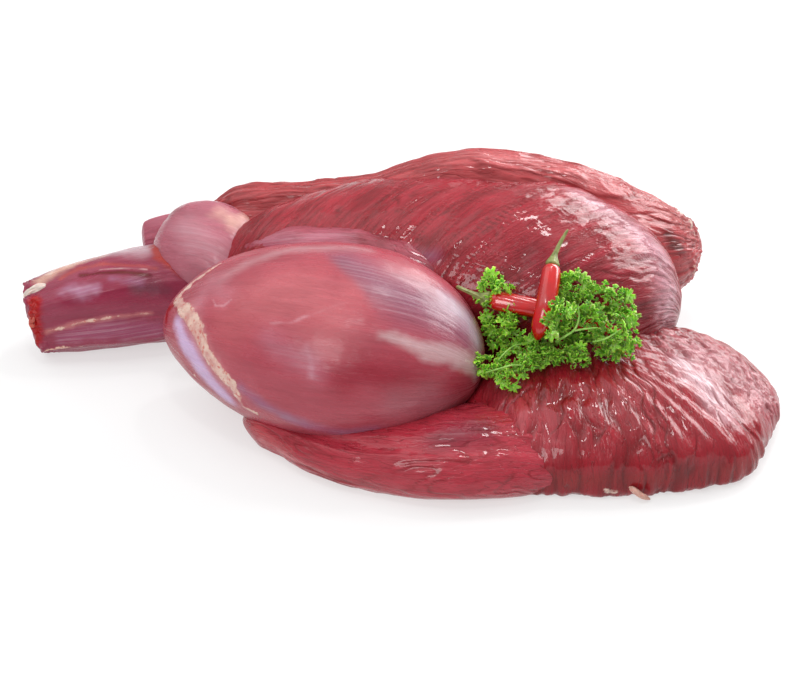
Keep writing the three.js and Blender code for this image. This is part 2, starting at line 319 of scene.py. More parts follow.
def buildMeat(name, form, material):
    mesh, run, turn = ballMesh(name, *form["mesh"])
    if "outline" in form:
        points, grain = slabSurface(form, run, turn)
    else:
        # More of the points stand on the upper side, which is what is seen.
        turn = turn - form.get("crowd", 0.25) * np.sin(turn - np.radians(form.get("facing", 65)))
        points, grain = strandSurface(form, run, turn)
    setPlaces(mesh, points)
    normals = normalsOf(mesh)
    seed = form["seed"]
    calm = smooth(np.minimum(run, 1 - run) / 0.03)
    # Sunk marks the feet of the layers and the grooves, which the material darkens as painted shade.
    sunk = np.zeros(len(points))
    swell = form.get("swell", 0.8)
    height = swell * noiseAt(points / 17, seed + 1) + swell * 0.35 * noiseAt(points / 7, seed + 2)
    # Layers give spacing, length, step, depth, sway, seed and cover.
    for spacing, length, step, depth, sway, number, cover in form.get("layers", ()):
        rise, foot = terraces(grain, spacing, length, step, sway, seed + number)
        patchy = smooth(cover + 1.6 * noiseAt(grain / [34, 17, 17], seed + 8))
        height += depth * rise * patchy
        sunk = np.maximum(sunk, foot * patchy)
    # Grooves give spacing, length, depth, width, sway, seed, shade and cover.
    for spacing, length, depth, width, sway, number, shade, cover in form["grooves"]:
        patchy = smooth(cover + 1.6 * noiseAt(grain / [30, 14, 14], seed + 7))
        cut = valleys(grain, spacing, length, width, sway, seed + number) * patchy
        height -= depth * cut
        sunk = np.maximum(sunk, cut * shade)
    colour, film, fat, fatTone, crinkle = paintOn(points, form["base"], form.get("patches", ()), seed)
    height = height * (1 - form.get("filmCalm", 0.7) * film) + 0.4 * smooth((1 - fat) / 2)
    sunk = sunk * (1 - 0.8 * film)
    bent = grain + 3 * np.stack([noiseAt(grain / 7, seed + number) for number in (40, 41, 42)], 1)
    wrinkle = noiseAt(bent / [6.5, 3.4, 3.4], seed + 43)
    wrinkle = wrinkle + 0.4 * noiseAt(bent / [3.4, 2, 2], seed + 44)
    height += wrinkleHeight * crinkle * wrinkle
    if "ragged" in form:
        height += tornEdge(points, grain, form, form["ragged"])
    points = points + (calm * height)[:, None] * normals
    points[:, 2] = np.maximum(points[:, 2], 0)
    setPlaces(mesh, points)
    addAttribute(mesh, "paint", "FLOAT_COLOR", colour)
    values = {"film": film, "sunk": sunk, "fat": fat, "fatTone": fatTone, "crinkle": crinkle}
    for label, value in values.items():
        addAttribute(mesh, label, "FLOAT", value)
    addAttribute(mesh, "grain", "FLOAT_VECTOR", grain)
    finishPiece(mesh, name, material, ["venison_leg"])


def newMaterial(name):
    material = bpy.data.materials.new(name)
    material.use_nodes = True
    tree = material.node_tree
    return material, tree, tree.nodes["Principled BSDF"]


def feed(value, target):
    if isinstance(value, Wire):
        value.tree.links.new(value.socket, target)
    else:
        target.default_value = value


class Wire:
    # The output of a node. Sums and products of wires are math nodes.
    def __init__(self, socket):
        self.socket, self.tree = socket, socket.id_data

    def math(self, operation, first, second=0):
        node = addNode(self.tree, "ShaderNodeMath", {"operation": operation}, {0: first, 1: second})
        return Wire(node.outputs[0])

    def __add__(self, other):
        return self.math("ADD", self, other)

    def __sub__(self, other):
        return self.math("SUBTRACT", self, other)

    def __rsub__(self, other):
        return self.math("SUBTRACT", other, self)

    def __mul__(self, other):
        return self.math("MULTIPLY", self, other)

    def larger(self, other):
        return self.math("MAXIMUM", self, other)

    def offHalf(self, middle=0.5):
        return self.math("ABSOLUTE", self - middle)

    def ranged(self, low, high, toLow, toHigh):
        values = {"Value": self, "From Min": low, "From Max": high, "To Min": toLow, "To Max": toHigh}
        return Wire(addNode(self.tree, "ShaderNodeMapRange", {}, values).outputs["Result"])


def setInputs(node, values):
    for key, value in values.items():
        feed(value, node.inputs[key])


def addNode(tree, kind, settings=None, values=None):
    node = tree.nodes.new(kind)
    for key, value in (settings or {}).items():
        setattr(node, key, value)
    setInputs(node, values or {})
    return node


def attribute(tree, name, kind="Fac"):
    return Wire(addNode(tree, "ShaderNodeAttribute", {"attribute_name": name}).outputs[kind])


def objectPlace(tree):
    return Wire(addNode(tree, "ShaderNodeTexCoord").outputs["Object"])


def noise(vector, scale, detail, roughness=0.55):
    scale = scale if isinstance(scale, tuple) else (scale,) * 3
    spread = addNode(vector.tree, "ShaderNodeVectorMath", {"operation": "MULTIPLY"}, {0: vector, 1: scale})
    values = {"Vector": Wire(spread.outputs[0]), "Scale": 1, "Detail": detail, "Roughness": roughness}
    return Wire(addNode(vector.tree, "ShaderNodeTexNoise", {"noise_dimensions": "3D"}, values).outputs["Fac"])


def mixColours(share, first, second, blend="MIX"):
    # Inputs 6 and 7 and output 2 are those of the colour form.
    settings = {"data_type": "RGBA", "blend_type": blend}
    values = {"Factor": share, 6: first, 7: second}
    return Wire(addNode(share.tree, "ShaderNodeMix", settings, values).outputs[2])


def scaledColour(colour, share):
    scaled = addNode(colour.tree, "ShaderNodeVectorMath", {"operation": "SCALE"}, {0: colour, "Scale": share})
    return Wire(scaled.outputs[0])


def addBump(height, shader, strength, distance):
    values = {"Strength": strength, "Distance": distance, "Height": height}
    feed(Wire(addNode(height.tree, "ShaderNodeBump", {}, values).outputs["Normal"]), shader.inputs["Normal"])


def newGroup(name, inputs, outputs):
    group = bpy.data.node_groups.new(name, "ShaderNodeTree")
    for label in inputs:
        group.interface.new_socket(name=label, in_out="INPUT", socket_type="NodeSocketFloat")
    for label, kind in outputs:
        group.interface.new_socket(name=label, in_out="OUTPUT", socket_type=kind)
    given = group.nodes.new("NodeGroupInput")
    return group, {label: Wire(given.outputs[label]) for label in inputs}, group.nodes.new("NodeGroupOutput")


# Inputs of the fibre group, with their values for muscle, for silverskin, and for fat and tendon.
fibreLooks = {
    "Thread Shade": (0.12, 0.08, 0.12), "Streak Shade": (0.11, 0.1, 0.1), "Sunk Shade": (0.8, 0.35, 0.3),
    "Cut Shade": (0.45, 0.12, 0.2), "Cut Depth": (0.9, 0.15, 0.4), "Pale Threads": (0.06, 0.08, 0),
    "Film Hold": (0.7, 0.3, 0.3), "Rough": (0.36, 0.34, 0.36), "Wet": (0.14, 0.08, 0.1),
    "Fleck Height": (0.3, 0.5, 0.8), "Film Height": (0.3, 0.6, 0.5), "Ripple Height": (0.5, 0.2, 0.4),
}
# The same three for the surface.
surfaceLooks = {
    "Specular IOR Level": (0.22, 0.25, 0.3), "Coat Weight": (0.42, 0.14, 0.3),
    "Coat Roughness": (0.06, 0.2, 0.14),
}
bumpLooks = (0.5, 0.25, 0.4)
softLooks = (0.1, 0.12, 0.2)


def fibreGroup():
    # Colour, roughness and relief of wet meat, read from each piece's own paint, film, sunk and grain.
    outputs = [("Color", "NodeSocketColor"), ("Roughness", "NodeSocketFloat"), ("Height", "NodeSocketFloat")]
    tree, given, made = newGroup("meatFibre", fibreLooks, outputs)
    film, sunk, fat = attribute(tree, "film"), attribute(tree, "sunk"), attribute(tree, "fat")
    crinkle = attribute(tree, "crinkle")
    grain = attribute(tree, "grain", "Vector")
    place = objectPlace(tree)
    torn = noise(place, 170, 5, 0.62)
    thread = noise(grain, (0.12, 1.3, 1.3), 3)
    crest = noise(grain, (0.09, 0.36, 0.36), 2).offHalf().ranged(0, 0.2, 1, 0)
    crumple = noise(grain, (0.24, 0.5, 0.5), 3, 0.6).offHalf().ranged(0, 0.24, 1, 0)
    streak = noise(grain, (0.03, 0.3, 0.3), 2)
    fleck = noise(grain, (0.4, 0.6, 0.6), 3)
    broad = noise(grain, (0.05, 0.09, 0.09), 2)
    bare = 1 - film * given["Film Hold"]
    # Fine cuts between the fibres: thin winding lines, in some places only.
    longCut = cutLines(grain, (0.045, 0.34, 0.34), 0.022)
    shortCut = cutLines(grain, (0.09, 0.7, 0.7), 0.03)
    places = noise(grain, (0.04, 0.08, 0.08), 1).ranged(0.4, 0.56, 0, 1)
    others = 1 - places * 0.75
    cuts = (longCut * places).larger(shortCut * (others * 0.7)) * bare
    # Painted shade in the valleys of the wet wrinkles.
    deep = crumple.ranged(0.1, 0.45, 0.5, 0) * crinkle
    threadShade = thread.ranged(0.3, 0.7, -0.5, 0.5) * given["Thread Shade"]
    streakShade = streak.ranged(0.3, 0.7, -0.5, 0.5) * given["Streak Shade"]
    shade = ((threadShade + streakShade) * bare + 1) * broad.ranged(0.3, 0.7, 0.94, 1.06)
    toned = scaledColour(attribute(tree, "paint", "Color"), shade)
    # Painted shade: what lies deep in grooves, cuts and wet wrinkles is darkened towards a dark blood red
    # rather than grey.
    dark = (1 - sunk * given["Sunk Shade"]) * (1 - cuts * given["Cut Shade"]) * (1 - deep)
    toned = mixColours(1 - dark, toned, (0.42, 0.1, 0.12, 1), "MULTIPLY")
    # Thin pale threads of tissue between the fibres.
    pale = streak.offHalf(0.55).ranged(0, 0.008, 1, 0) * given["Pale Threads"]
    toned = mixColours(pale, toned, (0.5, 0.22, 0.22, 1))
    # Fine pale streaks run through the silverskin.
    fine = noise(grain, (0.018, 0.8, 0.8), 2).ranged(0.5, 0.64, 0, 0.25) * film
    toned = mixColours(fine, toned, (0.66, 0.5, 0.55, 1))
    # Fat and tendon, torn at the edge and marbled from cream to pink.
    fatShare = (fat + (torn - 0.5) * 7).ranged(-0.4, 0.4, 1, 0)
    marbled = noise(place, 170, 3).ranged(0.38, 0.62, 0, 1)
    cream = mixColours(marbled, (0.66, 0.42, 0.33, 1), (0.52, 0.2, 0.17, 1))
    white = mixColours(marbled, (0.72, 0.64, 0.6, 1), (0.6, 0.42, 0.4, 1))
    fatColour = mixColours(attribute(tree, "fatTone"), cream, white)
    bloody = noise(place, 420, 2).ranged(0.56, 0.66, 0, 0.75)
    fatColour = mixColours(bloody, fatColour, (0.5, 0.09, 0.08, 1))
    colour = mixColours(fatShare, toned, fatColour)
    # Wet streaks lie along the fibres and shine harder than the rest.
    wet = (broad + streak).ranged(0.95, 1.1, 0, 1) * given["Wet"] + crinkle * 0.05
    rough = given["Rough"] + fleck.ranged(0.3, 0.7, -0.03, 0.03) - wet
    relief = (thread * 0.4 + fleck * given["Fleck Height"] - cuts * given["Cut Depth"]) * bare
    relief = relief + fleck * film * given["Film Height"] + crest * given["Ripple Height"] * bare
    relief = relief + fatShare * (torn + 0.5) + crumple * (crinkle * 1.4)
    setInputs(made, {"Color": colour, "Roughness": rough, "Height": relief})
    return tree


def cutLines(grain, scale, width):
    return noise(grain, scale, 1, 0.4).offHalf().ranged(width * 0.3, width, 1, 0)


meatFibre = fibreGroup()


def meatMaterial(name, column):
    material, tree, shader = newMaterial(name)
    values = {label: row[column] for label, row in fibreLooks.items()}
    fibre = addNode(tree, "ShaderNodeGroup", {"node_tree": meatFibre}, values)
    setInputs(shader, {
        "Base Color": Wire(fibre.outputs["Color"]), "Roughness": Wire(fibre.outputs["Roughness"]),
    })
    setInputs(shader, {label: row[column] for label, row in surfaceLooks.items()})
    addBump(Wire(fibre.outputs["Height"]), shader, bumpLooks[column], 0.001)
    soften(shader, softLooks[column], (1, 0.3, 0.25), 0.003)
    return material


def soften(shader, weight, radius, scale):
    # Light goes a little way into the surface.
    setInputs(shader, {"Subsurface Weight": weight, "Subsurface Radius": radius, "Subsurface Scale": scale})


muscle = meatMaterial("muscle", 0)
silver = meatMaterial("silverskin", 1)
print("materials made")

knuckle = {
    "stations": [
        [-129, 112, 43, 38, 40], [-100, 103, 46, 48, 47], [-70, 95, 48, 55, 49], [-40, 87, 48, 59, 51],
        [-10, 80, 47, 60, 52], [18, 76, 43, 58, 51], [42, 73, 38, 54, 46],
    ],
    "ends": [0.5, 0.5], "lump": 0.7, "mesh": [440, 210], "crowd": 0.4, "seed": 11, "swell": 0.5,
    "grooves": [[9, 90, 0.2, 0.25, 5, 3, 0.35, 0.5], [4, 60, 0.1, 0.3, 3, 4, 0.3, 0.5]],
    "base": (182, 88, 100),
    "patches": [
        # Painted highlight: the upper left of the dome is lighter pink.
        stroke((200, 106, 114), [[-90, 63, 76, 12], [-74, 65, 87, 16], [-54, 64, 93, 18], [-38, 47, 86, 15],
            [-20, 70, 97, 8]], soft=16),
        # Painted shade: darker red low on the front right.
        stroke((146, 44, 56), [[-30, 27, 60, 8], [-22, 29, 67, 9], [-4, 29, 62, 9], [14, 35, 54, 8],
            [29, 46, 44, 7]], soft=14, share=0.75),
        stroke((178, 104, 114), [[-4, 27, 46, 7], [10, 32, 46, 8], [25, 39, 35, 8]], soft=9),
        stroke((200, 146, 152), [[-96, 90, 84, 2], [-81, 97, 91, 3], [-63, 102, 94, 3], [-44, 100, 98, 3],
            [-20, 100, 98, 3]], soft=6, film=0.5, share=0.8),
        stroke((136, 96, 116), [[-31, 83, 99, 9], [-12, 67, 95, 12], [3, 61, 89, 14], [19, 63, 82, 15],
            [32, 66, 71, 15]], soft=13, film=0.9, share=0.75, edgeSoft=7,
            edge=[[43, 51, 62, 76, 95], [-13, -16, -22, -33, -45]]),
        # Pale silverskin at the right end, made paler still as a painted highlight.
        stroke((206, 186, 200), [[23, 74, 81, 5], [33, 71, 71, 6], [38, 68, 61, 5]],
            soft=8, film=0.8, share=0.85),
        stroke((214, 182, 220), [[-119, 86, 59, 4], [-113, 72, 52, 6], [-103, 63, 40, 6], [-92, 55, 32, 4]],
            film=0.7),
        stroke((208, 136, 148), [[-108, 84, 74, 5], [-100, 92, 80, 6], [-92, 78, 80, 4]],
            soft=9, share=0.85),
        stroke((212, 146, 150), [[-112, 83, 67, 5], [-106, 71, 62, 5], [-96, 56, 48, 5], [-86, 48, 40, 3]],
            ragged=2.5, share=0.8),
        stroke((158, 104, 136), [[-84, 46, 45, 2.5], [-73, 39, 40, 3], [-55, 33, 33, 3], [-30, 29, 29, 2.5],
            [-2, 23, 32, 1.6]], share=0.8, film=0.7),
        stroke((170, 40, 48), [[-127, 99, 53, 2], [-126, 104, 57, 3], [-123, 100, 62, 1.6]], soft=2),
        fatAt(0.25, [[-98, 108, 82, 1.2], [-107, 105, 78, 1.8], [-116, 104, 71, 2.4], [-121, 102, 65, 2.8],
            [-113, 83, 67, 4.3], [-107, 71, 64, 4.3], [-103, 64, 57, 3.4], [-96, 56, 50, 4],
            [-89, 49, 45, 2.8], [-83, 48, 33, 1.4], [-76, 45, 30, 1.1]]),
        fatAt(0.5, [[-125, 97, 44, 0.3], [-119, 84, 42, 0.5], [-110, 72, 34, 0.5], [-98, 60, 27, 0.3]]),
        # Painted sheen: a lilac-pink highlight on the front, on smooth film, with the next stroke as its
        # paler core.
        stroke((192, 126, 142), [[-71, 47, 75, 4], [-61, 41, 72, 6], [-50, 35, 69, 6], [-45, 31, 64, 4]],
            soft=8, ragged=2.5, share=0.5, film=0.6),
        stroke((214, 170, 184), [[-50, 38, 75, 1], [-47, 34, 69, 1.6], [-47, 31, 62, 1.6]],
            soft=3, ragged=2, share=0.4, film=0.8),
        stroke((208, 174, 176), [[-11, 40, 81, 1.9], [-1, 40, 78, 2.7], [12, 41, 71, 4], [23, 47, 66, 5],
            [33, 53, 57, 5.4], [38, 59, 47, 4.5]], soft=3, ragged=1.6, film=0.9, share=0.8),
        fatAt(0.8, [[26, 50, 64, 0], [32, 54, 57, 0.5], [36, 57, 52, 0.2]]),
        stroke((220, 160, 170), [[-69, 52, 81, 0.1], [-58, 49, 83, 0.3], [-51, 50, 86, 0.3],
            [-43, 51, 88, 0.3], [-36, 53, 91, 0.1], [-29, 55, 92, 0]], soft=0.8, ragged=0.7, share=0.6),
        stroke((226, 160, 160), [[-45, 50, 87, 0], [-35, 48, 87, 0.1], [-24, 48, 88, 0]],
            soft=0.7, ragged=0.1, share=0.6),
        stroke((224, 170, 180), [[-100, 79, 79, 0.2], [-98, 74, 78, 0.4], [-94, 71, 80, 0.4],
            [-90, 72, 83, 0.2]], soft=0.8, ragged=0.5, share=0.7),
    ],
}
buildMeat("knuckle", knuckle, silver)

topside = {
    "stations": [
        [-106, 150, 36, 28, 35], [-66, 160, 42, 37, 43], [-22, 165, 46, 49, 49], [25, 163, 48, 60, 51],
        [75, 151, 47, 65, 51], [118, 142, 41, 57, 43], [151, 136, 31, 43, 32],
    ],
    "ends": [0.16, 0.24], "lump": 1.4, "mesh": [440, 220], "crowd": 0.35, "twist": 0.95, "seed": 23,
    "swell": 0.9, "layers": [[10, 40, 0.34, 0.5, 4, 9, 0.6]],
    "grooves": [[5.2, 30, 0.45, 0.22, 3, 4, 0.8, 0.75]], "base": (172, 56, 66),
    "patches": [
        stroke((190, 76, 84), [[-79, 182, 73, 7], [-63, 169, 85, 8], [-46, 166, 90, 7]],
            soft=14, share=0.8),
        # Pale pinkish streaks along the top back edge, with a little film, partly a painted sheen.
        stroke((190, 112, 120), [[-13, 197, 90, 4], [14, 185, 100, 5], [42, 182, 101, 5], [64, 182, 98, 4]],
            soft=8, share=0.5, film=0.3),
        stroke((146, 70, 98), [[-16, 126, 85, 3.2], [1, 121, 85, 4.3], [18, 119, 81, 3.2]], soft=5, film=0.7),
        stroke((136, 36, 50), [[70, 110, 84, 8], [100, 104, 74, 10], [130, 104, 56, 8]],
            soft=14, share=0.6),
        # Painted glare: a pale pink highlight over the wet right end.
        stroke((230, 180, 194), [[100, 162, 92, 6], [120, 150, 82, 10], [136, 138, 70, 12],
            [142, 122, 50, 12]], soft=12, ragged=5, share=0.75),
        wetAt(1, [[50, 176, 98, 8], [84, 150, 96, 16], [106, 145, 88, 20], [122, 132, 78, 20],
            [138, 122, 58, 18], [142, 116, 44, 14]], soft=10),
        wetAt(0.7, [[-60, 152, 80, 3], [0, 132, 88, 5], [40, 116, 84, 6], [60, 120, 88, 8]]),
        fatAt(0.1, [[106, 178, 90, 0.6], [117, 178, 86, 1], [128, 176, 78, 1.4], [139, 170, 68, 1.8],
            [145, 164, 58, 2], [148, 158, 49, 1.8]]),
    ],
}
buildMeat("topside", topside, muscle)

backBand = {
    "stations": [
        [-126, 197, 31, 19, 31], [-88, 197, 38, 24, 41], [-48, 191, 42, 27, 44], [-10, 189, 46, 30, 47],
        [28, 192, 51, 33, 52], [75, 193, 49, 36, 51], [122, 190, 42, 35, 42], [169, 205, 41, 21, 18],
    ],
    "ends": [0.16, 0.08], "furrows": [[60, 12, 1.5], [96, 12, 1.5]], "lump": 1.2, "mesh": [330, 260],
    "seed": 37, "swell": 1.2, "layers": [[13, 70, 0.32, 0.8, 5, 9, 0.6]],
    "grooves": [[4.4, 34, 0.55, 0.18, 4, 4, 0.7, 0.7]], "base": (190, 80, 84),
    "patches": [
        stroke((214, 118, 120), [[20, 190, 102, 4], [57, 192, 102, 5], [81, 191, 98, 5], [103, 182, 92, 4]],
            soft=7),
        wetAt(0.7, [[60, 190, 98, 4], [103, 184, 90, 8], [130, 190, 78, 10], [160, 190, 60, 12]]),
        stroke((196, 112, 116), [[-60, 222, 50, 2], [-20, 226, 56, 4], [30, 228, 60, 3], [70, 230, 52, 1]],
            soft=8, ragged=4, film=0.5, share=0.7),
        fatAt(0.15, [[90, 228, 40, 0.4], [60, 229, 34, 1], [20, 226, 30, 0.6], [-10, 222, 34, 0.2]]),
        stroke((206, 124, 122), [[141, 194, 74, 5], [150, 189, 70, 6], [161, 191, 56, 6]],
            soft=5, ragged=3, share=0.6),
        fatAt(0.4, [[140, 205, 72, 0.4], [152, 200, 66, 0.8], [162, 195, 58, 1], [168, 189, 50, 1.2]]),
        stroke((112, 18, 26), [[147, 172, 64, 3], [152, 173, 57, 4], [155, 174, 50, 3]],
            soft=3, ragged=2, share=0.8),
    ],
    "ragged": {"to": 22, "depth": 1.8},
}
buildMeat("backBand", backBand, muscle)

frontFlap = {
    "stations": [
        [-85, 70, 11, 12, 12], [-57, 57, 12, 20, 14], [-24, 39, 13, 26, 17], [18, 31, 15, 31, 20],
        [60, 34, 14, 31, 20], [92, 32, 8, 24, 14],
    ],
    "ends": [0.12, 0.2], "furrows": [[52, 12, 1.6]], "lump": 0.8, "mesh": [240, 200], "seed": 41,
    "swell": 0.8, "layers": [[11, 50, 0.36, 0.5, 5, 9, 0.45]],
    "grooves": [[3.4, 26, 0.25, 0.14, 4, 4, 0.6, 0.45]], "base": (184, 66, 78),
    "patches": [
        wetAt(0.45, [[10, 24, 33, 4], [50, 26, 36, 6], [80, 28, 24, 6]]),
        stroke((196, 84, 90), [[-78, 51, 17, 3], [-70, 44, 14, 3], [-59, 34, 13, 2]]),
        # Painted highlight: a pale stripe along the lower edge, on some film.
        stroke((208, 122, 126), [[-75, 48, 11, 1], [-62, 36, 10, 1.4], [-49, 25, 10, 1.4], [-41, 20, 9, 1]],
            soft=2, share=0.8, film=0.5),
        stroke((126, 44, 60), [[16, 18, 32, 5], [26, 20, 34, 8], [39, 23, 36, 8]],
            soft=8, film=0.5, share=0.75),
    ],
}
buildMeat("frontFlap", frontFlap, muscle)

shank = {
    "stations": [
        [-209, 154, 20, 20, 20], [-186, 157, 25, 24, 24], [-160, 162, 28, 27, 27], [-130, 168, 30, 29, 28],
        [-96, 168, 32, 30, 28],
    ],
    "ends": [0.03, 0.3], "furrows": [[8, 36, 4.5], [-52, 16, 1.8], [78, 14, 1.4]], "lump": 0.6,
    "mesh": [300, 170], "crowd": 0.3, "facing": 30, "seed": 53, "swell": 0.7, "filmCalm": 0.3,
    "grooves": [[6, 90, 0.35, 0.22, 3, 3, 0.4, 0.5], [3, 50, 0.15, 0.25, 2, 4, 0.4, 0.5]],
    "base": (158, 72, 92),
    "patches": [
        stroke((206, 174, 182), [[-196, 168, 46, 5], [-170, 178, 52, 6], [-146, 170, 57, 7]],
            soft=6, film=0.6),
        stroke((154, 56, 80), [[-184, 141, 43, 6], [-170, 142, 46, 7], [-153, 143, 45, 7],
            [-137, 145, 43, 6]]),
        stroke((132, 76, 90), [[-148, 144, 47, 3], [-140, 145, 46, 4], [-132, 146, 44, 3]]),
        stroke((192, 140, 168), [[-186, 145, 46, 2.7], [-178, 142, 46, 3.4], [-170, 143, 47, 2]],
            ragged=2.5, film=0.8, share=0.8),
        stroke((170, 112, 146), [[-161, 147, 51, 1.2], [-152, 146, 50, 2], [-145, 146, 49, 1.2]],
            soft=3, ragged=2, film=0.7, share=0.7),
        stroke((228, 184, 166), [[-204, 157, 42, 2.5], [-202, 156, 44, 3], [-194, 161, 47, 4.6],
            [-187, 165, 49, 4.8], [-178, 167, 51, 2.5], [-168, 171, 53, 1]], soft=3, ragged=2, share=0.85),
        fatAt(0.35, [[-202, 158, 43, 0.4], [-195, 161, 47, 1.4], [-188, 165, 49, 1], [-180, 168, 51, 0.2]]),
        stroke((186, 84, 82), [[-190, 154, 47, 0.8], [-180, 159, 50, 1], [-166, 159, 53, 1.2],
            [-152, 156, 54, 1], [-137, 153, 54, 1]], soft=1.6, ragged=0.8),
        stroke((116, 28, 48), [[-179, 154, 49, 1], [-161, 151, 53, 1.6], [-152, 150, 53, 1.6],
            [-140, 149, 52, 1]], soft=1.4, ragged=0.8),
        stroke((238, 206, 204), [[-168, 155, 52, 0.2], [-156, 154, 53, 0.4], [-142, 152, 54, 0.2]],
            soft=0.8, ragged=0.5),
        stroke((178, 72, 68), [[-138, 172, 57, 4], [-134, 163, 56, 5.5], [-125, 157, 54, 5],
            [-117, 149, 53, 4]], soft=2.2, ragged=2),
        stroke((222, 140, 116), [[-129, 159, 56, 0.5], [-121, 153, 54, 0.8], [-116, 146, 52, 0.6]],
            soft=1.2, ragged=1.4, share=0.7),
        stroke((162, 84, 110), [[-190, 137, 19, 3.2], [-174, 137, 22, 4.3], [-159, 138, 23, 5],
            [-138, 142, 21, 5]], soft=3, film=0.7),
        stroke((206, 132, 130), [[-198, 138, 22, 1.2], [-188, 138, 25, 1], [-179, 138, 28, 1],
            [-158, 140, 31, 0.9], [-140, 143, 31, 0.8]], soft=1.6, ragged=1.1, share=0.8),
        fatAt(0.15, [[-198, 138, 22, 0.4], [-188, 138, 25, 0.2], [-179, 138, 28, 0.3], [-158, 140, 31, 0],
            [-140, 143, 31, -0.2]]),
        fatAt(0, [[-202, 138, 10, 0.6], [-189, 136, 12, 0.8], [-177, 137, 12, 0.2]]),
        stroke((178, 38, 44), [[-204, 143, 42, 4], [-204, 139, 33, 4.4], [-204, 139, 24, 4.4],
            [-205, 138, 14, 3]], soft=2.2, ragged=2.6),
        fatAt(0.9, [[-206, 158, 40, 0.4], [-206, 151, 38, 0.8]]),
    ],
    "ragged": {"to": 12, "depth": 1.5, "start": True},
}
buildMeat("shank", shank, silver)

heel = {
    "stations": [
        [-127, 206, 49, 24, 21], [-114, 186, 51, 31, 26], [-97, 166, 46, 28, 27], [-84, 148, 36, 23, 23],
    ],
    "ends": [0.42, 0.42], "lump": 0.8, "mesh": [220, 150], "twist": 0.5, "seed": 61, "swell": 0.9,
    "filmCalm": 0.3, "grooves": [[7, 50, 0.4, 0.22, 9, 3, 0.4, 0.5], [3, 34, 0.2, 0.2, 6, 4, 0.4, 0.5]],
    "base": (186, 112, 126),
    "patches": [
        stroke((158, 66, 82), [[-141, 198, 51, 5], [-135, 200, 57, 5], [-127, 189, 68, 5]], soft=5),
        stroke((200, 136, 148), [[-121, 170, 70, 7], [-113, 158, 67, 9], [-106, 151, 64, 7]],
            soft=8, film=0.5),
        stroke((226, 178, 166), [[-101, 176, 73, 5], [-94, 171, 71, 6], [-88, 182, 68, 5]],
            soft=6, ragged=3, share=0.85),
        fatAt(0.1, [[-103, 181, 73, 0], [-97, 175, 74, 0.8], [-90, 178, 70, 0.6], [-84, 188, 66, 0]]),
        fatAt(0.8, [[-94, 148, 66, 1], [-87, 144, 71, 2], [-82, 138, 74, 1]]),
        *[
            stroke((222, 176, 182), hairline, reach=0.2, soft=1, ragged=1, share=part)
            for part, hairline in (
                (0.7, [[-129, 168, 60], [-118, 164, 68], [-110, 164, 71], [-103, 161, 70], [-98, 155, 67]]),
                (0.6, [[-124, 160, 59], [-115, 157, 65], [-108, 155, 67], [-102, 151, 64]]),
                (0.7, [[-130, 176, 63], [-121, 174, 71], [-110, 173, 74], [-100, 170, 72]]),
            )
        ],
    ],
}
buildMeat("heel", heel, silver)

seamStrip = {
    "stations": [
        [-88, 147, 70, 10, 8], [-54, 144, 75, 13, 10], [-20, 138, 77, 13, 10], [8, 123, 72, 12, 10],
        [34, 107, 63, 11, 10],
    ],
    "ends": [0.3, 0.4], "lump": 0.6, "mesh": [120, 190], "seed": 71, "swell": 0.6,
    "grooves": [[5, 40, 0.5, 0.18, 4, 3, 1, 0.5], [2.6, 24, 0.25, 0.2, 3, 4, 0.6, 0.5]],
    "base": (174, 84, 98),
    "patches": [
        stroke((190, 112, 130), [[-78, 141, 79], [-56, 136, 83], [-29, 132, 87]], reach=4, soft=5, film=0.7),
    ],
}
buildMeat("seamStrip", seamStrip, muscle)

rearFlap = {
    "stations": [[-148, 207, 29, 11, 23], [-130, 206, 32, 14, 28], [-108, 204, 34, 16, 30]],
    "ends": [0.14, 0.4], "furrows": [[120, 40, 3], [180, 30, 2.5]], "lump": 1, "mesh": [180, 120], "seed": 83,
    "swell": 1.2, "grooves": [[5, 40, 0.4, 0.2, 4, 3, 0.5, 0.5], [2.6, 24, 0.2, 0.2, 3, 4, 0.5, 0.5]],
    "base": (190, 110, 126),
    "patches": [
        stroke((168, 66, 76), [[-146, 214, 44], [-148, 216, 24], [-144, 216, 10]], reach=4, soft=5, ragged=3),
        fatAt(0.3, [[-140, 214, 50, 0.5], [-128, 218, 52, 1], [-112, 218, 54, 0.3]]),
    ],
}
buildMeat("rearFlap", rearFlap, silver)

topLobe = {
    "stations": [[-96, 204, 58, 12, 10], [-71, 205, 65, 15, 12], [-40, 202, 68, 12, 10]],
    "ends": [0.5, 0.5], "lump": 0.5, "mesh": [110, 90], "seed": 89, "swell": 0.5,
    "grooves": [[3, 24, 0.3, 0.2, 3, 3, 1, 0.5]], "base": (170, 58, 64),
}
buildMeat("topLobe", topLobe, muscle)

fat = meatMaterial("fatAndTendon", 2)
trimmings = {
    "fatFringe": {
        "stations": [
            [115, 11, 8, 0.8, 1.2], [119, 8.5, 6.5, 1.2, 1.8], [123, 7.5, 4, 1.6, 1.8], [127, 8, 1.6, 1, 1],
        ],
        "base": (232, 184, 168),
    },
    "shankTendonTop": {
        "stations": [
            [-196, 153, 42, 1.6, 1.8], [-203, 152, 41, 2.8, 3], [-208, 151, 38, 2.4, 3],
            [-209, 150, 33, 1.4, 2],
        ],
        "base": (240, 226, 214),
    },
    "shankTendonLow": {
        "stations": [
            [-198, 142, 31, 1.6, 1.8], [-204, 141, 30, 2.4, 2.6], [-206, 140, 26, 2.2, 2.8],
            [-205, 140, 20, 1.2, 1.6],
        ],
        "base": (214, 110, 96),
    },
    "bandCutFat": {
        "stations": [
            [146, 184, 58, 2, 2], [154, 180, 50, 3, 3.2], [161, 179, 42, 2.8, 3], [164, 180, 34, 1.6, 2],
        ],
        "base": (226, 168, 156),
    },
}
for number, (name, form) in enumerate(trimmings.items()):
    form.update({"ends": [0.3, 0.4], "lump": 0.2, "mesh": [56, 60], "seed": 140 + 7 * number, "swell": 1.5})
    form["grooves"] = [[1.8, 6, 0.5, 0.25, 2, 3, 0.7, 0.8]]
    buildMeat(name, form, fat)

